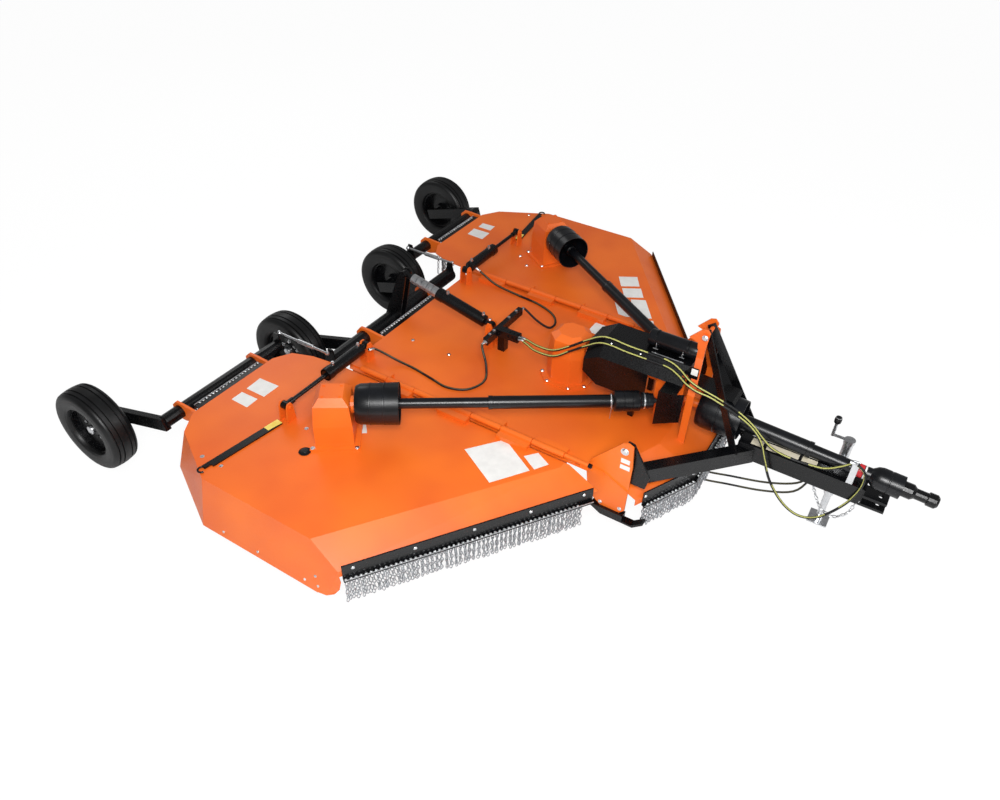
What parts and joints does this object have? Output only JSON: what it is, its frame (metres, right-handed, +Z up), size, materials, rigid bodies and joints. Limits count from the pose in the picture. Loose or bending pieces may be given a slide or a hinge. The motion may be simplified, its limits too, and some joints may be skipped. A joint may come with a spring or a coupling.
{
  "type": "flex-wing rotary cutter",
  "caption": "Towed flex-wing rotary cutter: hinged decks with chain guards and gearboxes on linked wheel arms, with folding wings, a tongue and a parking jack.",
  "frame": {"origin": "On the ground, under the middle of the object's box.", "axes": "+Y points to the rear of the machine, -Y along the tongue to the tractor. +X is the machine's left, +Z is up."},
  "size_m": [4.78, 5.6825, 1.4],
  "materials": {
    "orange_enamel": "sprayed enamel, satin to gloss",
    "black_enamel": "sprayed enamel, satin",
    "black_polyethylene": "moulded, slightly glossy",
    "tyre_rubber": "moulded rubber",
    "bare_steel": "rolled and worn",
    "zinc_plate": "bright zinc plate",
    "hose_rubber": "extruded rubber"
  },
  "bodies": {
    "centre": {"centre_deck": "orange_enamel", "centre_front_chain_guard": "black_enamel", "centre_rear_chain_guard": "black_enamel", "centre_gearbox": "orange_enamel", "splitter_gearbox": "orange_enamel", "driveline_cover": "black_enamel", "mast": "orange_enamel", "tongue": "black_enamel", "input_joint_shield": "black_polyethylene", "hose_manifold": "black_enamel", "lift_barrel": "black_enamel", "left_front_skid": "black_enamel", "right_front_skid": "black_enamel", "tongue_hoses": "hose_rubber", "left_fold_hose": "hose_rubber", "right_fold_hose": "hose_rubber"},
    "centre_axle": {"centre_axle": "black_enamel"},
    "lift_rod": {"lift_rod": "black_enamel", "stroke_spacers": "zinc_plate"},
    "centre_rotor": {"centre_rotor": "bare_steel"},
    "jack_body": {"jack_body": "zinc_plate"},
    "jack_leg": {"jack_leg": "zinc_plate"},
    "input_rear": {"input_shaft_rear": "black_polyethylene"},
    "input_front": {"input_shaft_front": "black_polyethylene"},
    "input_yoke": {"input_yoke": "black_enamel"},
    "left_wing": {"left_wing_deck": "orange_enamel", "left_front_chain_guard": "black_enamel", "left_rear_chain_guard": "black_enamel", "left_wing_gearbox": "orange_enamel", "left_joint_shield": "black_polyethylene", "left_lock_bar": "black_enamel"},
    "left_rotor": {"left_rotor": "bare_steel"},
    "left_wing_axle": {"left_wing_axle": "black_enamel"},
    "left_leveling_link": {"left_leveling_link": "zinc_plate"},
    "left_fold_barrel": {"left_fold_barrel": "black_enamel"},
    "left_fold_rod": {"left_fold_rod": "black_enamel"},
    "left_drive_outer": {"left_drive_outer": "black_polyethylene"},
    "left_drive_inner": {"left_drive_inner": "black_polyethylene"},
    "left_wing_wheel": {"left_wing_tyre": "tyre_rubber", "left_wing_rim": "black_enamel"},
    "left_centre_wheel": {"left_centre_tyre": "tyre_rubber", "left_centre_rim": "black_enamel"},
    "right_wing": {"right_wing_deck": "orange_enamel", "right_front_chain_guard": "black_enamel", "right_rear_chain_guard": "black_enamel", "right_wing_gearbox": "orange_enamel", "right_joint_shield": "black_polyethylene", "right_lock_bar": "black_enamel"},
    "right_rotor": {"right_rotor": "bare_steel"},
    "right_wing_axle": {"right_wing_axle": "black_enamel"},
    "right_leveling_link": {"right_leveling_link": "zinc_plate"},
    "right_fold_barrel": {"right_fold_barrel": "black_enamel"},
    "right_fold_rod": {"right_fold_rod": "black_enamel"},
    "right_drive_outer": {"right_drive_outer": "black_polyethylene"},
    "right_drive_inner": {"right_drive_inner": "black_polyethylene"},
    "right_wing_wheel": {"right_wing_tyre": "tyre_rubber", "right_wing_rim": "black_enamel"},
    "right_centre_wheel": {"right_centre_tyre": "tyre_rubber", "right_centre_rim": "black_enamel"}
  },
  "joints": [
    {"name": "deck_lift", "type": "hinge", "parent": "centre", "child": "centre_axle", "pos_m": [0, 1.4395, 0.51], "axis": [-1, 0, 0], "range_deg": [0, 10]},
    {"name": "lift_rod_slide", "type": "slide", "parent": "centre", "child": "lift_rod", "axis": [0, 0.9748, 0.2231], "range_m": [0, 0.081]},
    {"name": "left_wing_fold", "type": "hinge", "parent": "centre", "child": "left_wing", "pos_m": [0.849, 0.2795, 0.61], "axis": [0, -1, 0], "range_deg": [-20, 90]},
    {"name": "left_wing_axle_turn", "type": "hinge", "parent": "left_wing", "child": "left_wing_axle", "pos_m": [1.5, 1.9405, 0.51], "axis": [-1, 0, 0], "range_deg": [0, 10.05]},
    {"name": "left_link_turn", "type": "hinge", "parent": "centre_axle", "child": "left_leveling_link", "pos_m": [0.849, 1.4395, 0.61], "axis": [-1, 0, 0], "range_deg": [-10.05, 0]},
    {"name": "left_fold_barrel_turn", "type": "hinge", "parent": "centre", "child": "left_fold_barrel", "pos_m": [0.69, 1.1795, 0.7], "axis": [0, -1, 0], "range_deg": [-18.1, 80.9]},
    {"name": "left_fold_rod_slide", "type": "slide", "parent": "left_fold_barrel", "child": "left_fold_rod", "axis": [1, 0, 0], "range_m": [-0.226, 0.051]},
    {"name": "left_drive_swing", "type": "hinge", "parent": "centre", "child": "left_drive_outer", "pos_m": [0.24, -1.0405, 0.85], "axis": [-0.3395, -0.934, 0.1113], "range_deg": [-20.2, 90.6]},
    {"name": "left_drive_slide", "type": "slide", "parent": "left_drive_outer", "child": "left_drive_inner", "axis": [0.5692, 0.8222, 0], "range_m": [-0.263, 0.06]},
    {"name": "left_rotor_spin", "type": "hinge", "parent": "left_wing", "child": "left_rotor", "pos_m": [1.5, 0.7795, 0.27], "axis": [0, 0, 1], "continuous": true},
    {"name": "left_wing_wheel_spin", "type": "hinge", "parent": "left_wing_axle", "child": "left_wing_wheel", "pos_m": [2.2, 2.5105, 0.33], "axis": [1, 0, 0], "continuous": true},
    {"name": "left_centre_wheel_spin", "type": "hinge", "parent": "centre_axle", "child": "left_centre_wheel", "pos_m": [0.689, 2.0095, 0.33], "axis": [1, 0, 0], "continuous": true},
    {"name": "right_wing_fold", "type": "hinge", "parent": "centre", "child": "right_wing", "pos_m": [-0.849, 0.2795, 0.61], "axis": [0, 1, 0], "range_deg": [-20, 90]},
    {"name": "right_wing_axle_turn", "type": "hinge", "parent": "right_wing", "child": "right_wing_axle", "pos_m": [-1.5, 1.9405, 0.51], "axis": [-1, 0, 0], "range_deg": [0, 10.05]},
    {"name": "right_link_turn", "type": "hinge", "parent": "centre_axle", "child": "right_leveling_link", "pos_m": [-0.849, 1.4395, 0.61], "axis": [-1, 0, 0], "range_deg": [-10.05, 0]},
    {"name": "right_fold_barrel_turn", "type": "hinge", "parent": "centre", "child": "right_fold_barrel", "pos_m": [-0.69, 1.1795, 0.7], "axis": [0, 1, 0], "range_deg": [-18.1, 80.9]},
    {"name": "right_fold_rod_slide", "type": "slide", "parent": "right_fold_barrel", "child": "right_fold_rod", "axis": [-1, 0, 0], "range_m": [-0.226, 0.051]},
    {"name": "right_drive_swing", "type": "hinge", "parent": "centre", "child": "right_drive_outer", "pos_m": [-0.24, -1.0405, 0.85], "axis": [-0.3395, 0.934, -0.1113], "range_deg": [-20.2, 90.6]},
    {"name": "right_drive_slide", "type": "slide", "parent": "right_drive_outer", "child": "right_drive_inner", "axis": [-0.5692, 0.8222, 0], "range_m": [-0.263, 0.06]},
    {"name": "right_rotor_spin", "type": "hinge", "parent": "right_wing", "child": "right_rotor", "pos_m": [-1.5, 0.7795, 0.27], "axis": [0, 0, 1], "continuous": true},
    {"name": "right_wing_wheel_spin", "type": "hinge", "parent": "right_wing_axle", "child": "right_wing_wheel", "pos_m": [-2.2, 2.5105, 0.33], "axis": [1, 0, 0], "continuous": true},
    {"name": "right_centre_wheel_spin", "type": "hinge", "parent": "centre_axle", "child": "right_centre_wheel", "pos_m": [-0.689, 2.0095, 0.33], "axis": [1, 0, 0], "continuous": true},
    {"name": "centre_rotor_spin", "type": "hinge", "parent": "centre", "child": "centre_rotor", "pos_m": [0, -0.2205, 0.27], "axis": [0, 0, 1], "continuous": true},
    {"name": "input_swing", "type": "hinge", "parent": "centre", "child": "input_rear", "pos_m": [0, -1.3205, 0.745], "axis": [-1, 0, 0], "range_deg": [0, 15]},
    {"name": "input_slide", "type": "slide", "parent": "input_rear", "child": "input_front", "axis": [0, -0.9988, -0.0493], "range_m": [0, 0.2]},
    {"name": "input_spin", "type": "hinge", "parent": "input_front", "child": "input_yoke", "pos_m": [0, -2.74062, 0.67493], "axis": [0, -0.9988, -0.0493], "continuous": true},
    {"name": "jack_swivel", "type": "hinge", "parent": "centre", "child": "jack_body", "pos_m": [0.0803, -2.2305, 0.56], "axis": [-1, 0, 0], "range_deg": [0, 90]},
    {"name": "jack_screw", "type": "slide", "parent": "jack_body", "child": "jack_leg", "axis": [0, 0, -1], "range_m": [-0.2, 0.1]}
  ],
  "couplings": [
    {"joint": "lift_rod_slide", "follows": "deck_lift", "m_per_rad": 0.4582},
    {"joint": "left_wing_axle_turn", "follows": "deck_lift", "ratio": 1},
    {"joint": "left_link_turn", "follows": "deck_lift", "ratio": -1},
    {"joint": "left_fold_barrel_turn", "follows": "left_wing_fold", "ratio": 0.897},
    {"joint": "left_fold_rod_slide", "follows": "left_wing_fold", "m_per_rad": -0.1427},
    {"joint": "left_drive_swing", "follows": "left_wing_fold", "ratio": 1.0042},
    {"joint": "left_drive_slide", "follows": "left_wing_fold", "m_per_rad": -0.1664},
    {"joint": "right_wing_axle_turn", "follows": "deck_lift", "ratio": 1},
    {"joint": "right_link_turn", "follows": "deck_lift", "ratio": -1},
    {"joint": "right_fold_barrel_turn", "follows": "right_wing_fold", "ratio": 0.897},
    {"joint": "right_fold_rod_slide", "follows": "right_wing_fold", "m_per_rad": -0.1427},
    {"joint": "right_drive_swing", "follows": "right_wing_fold", "ratio": 1.0042},
    {"joint": "right_drive_slide", "follows": "right_wing_fold", "m_per_rad": -0.1664}
  ]
}
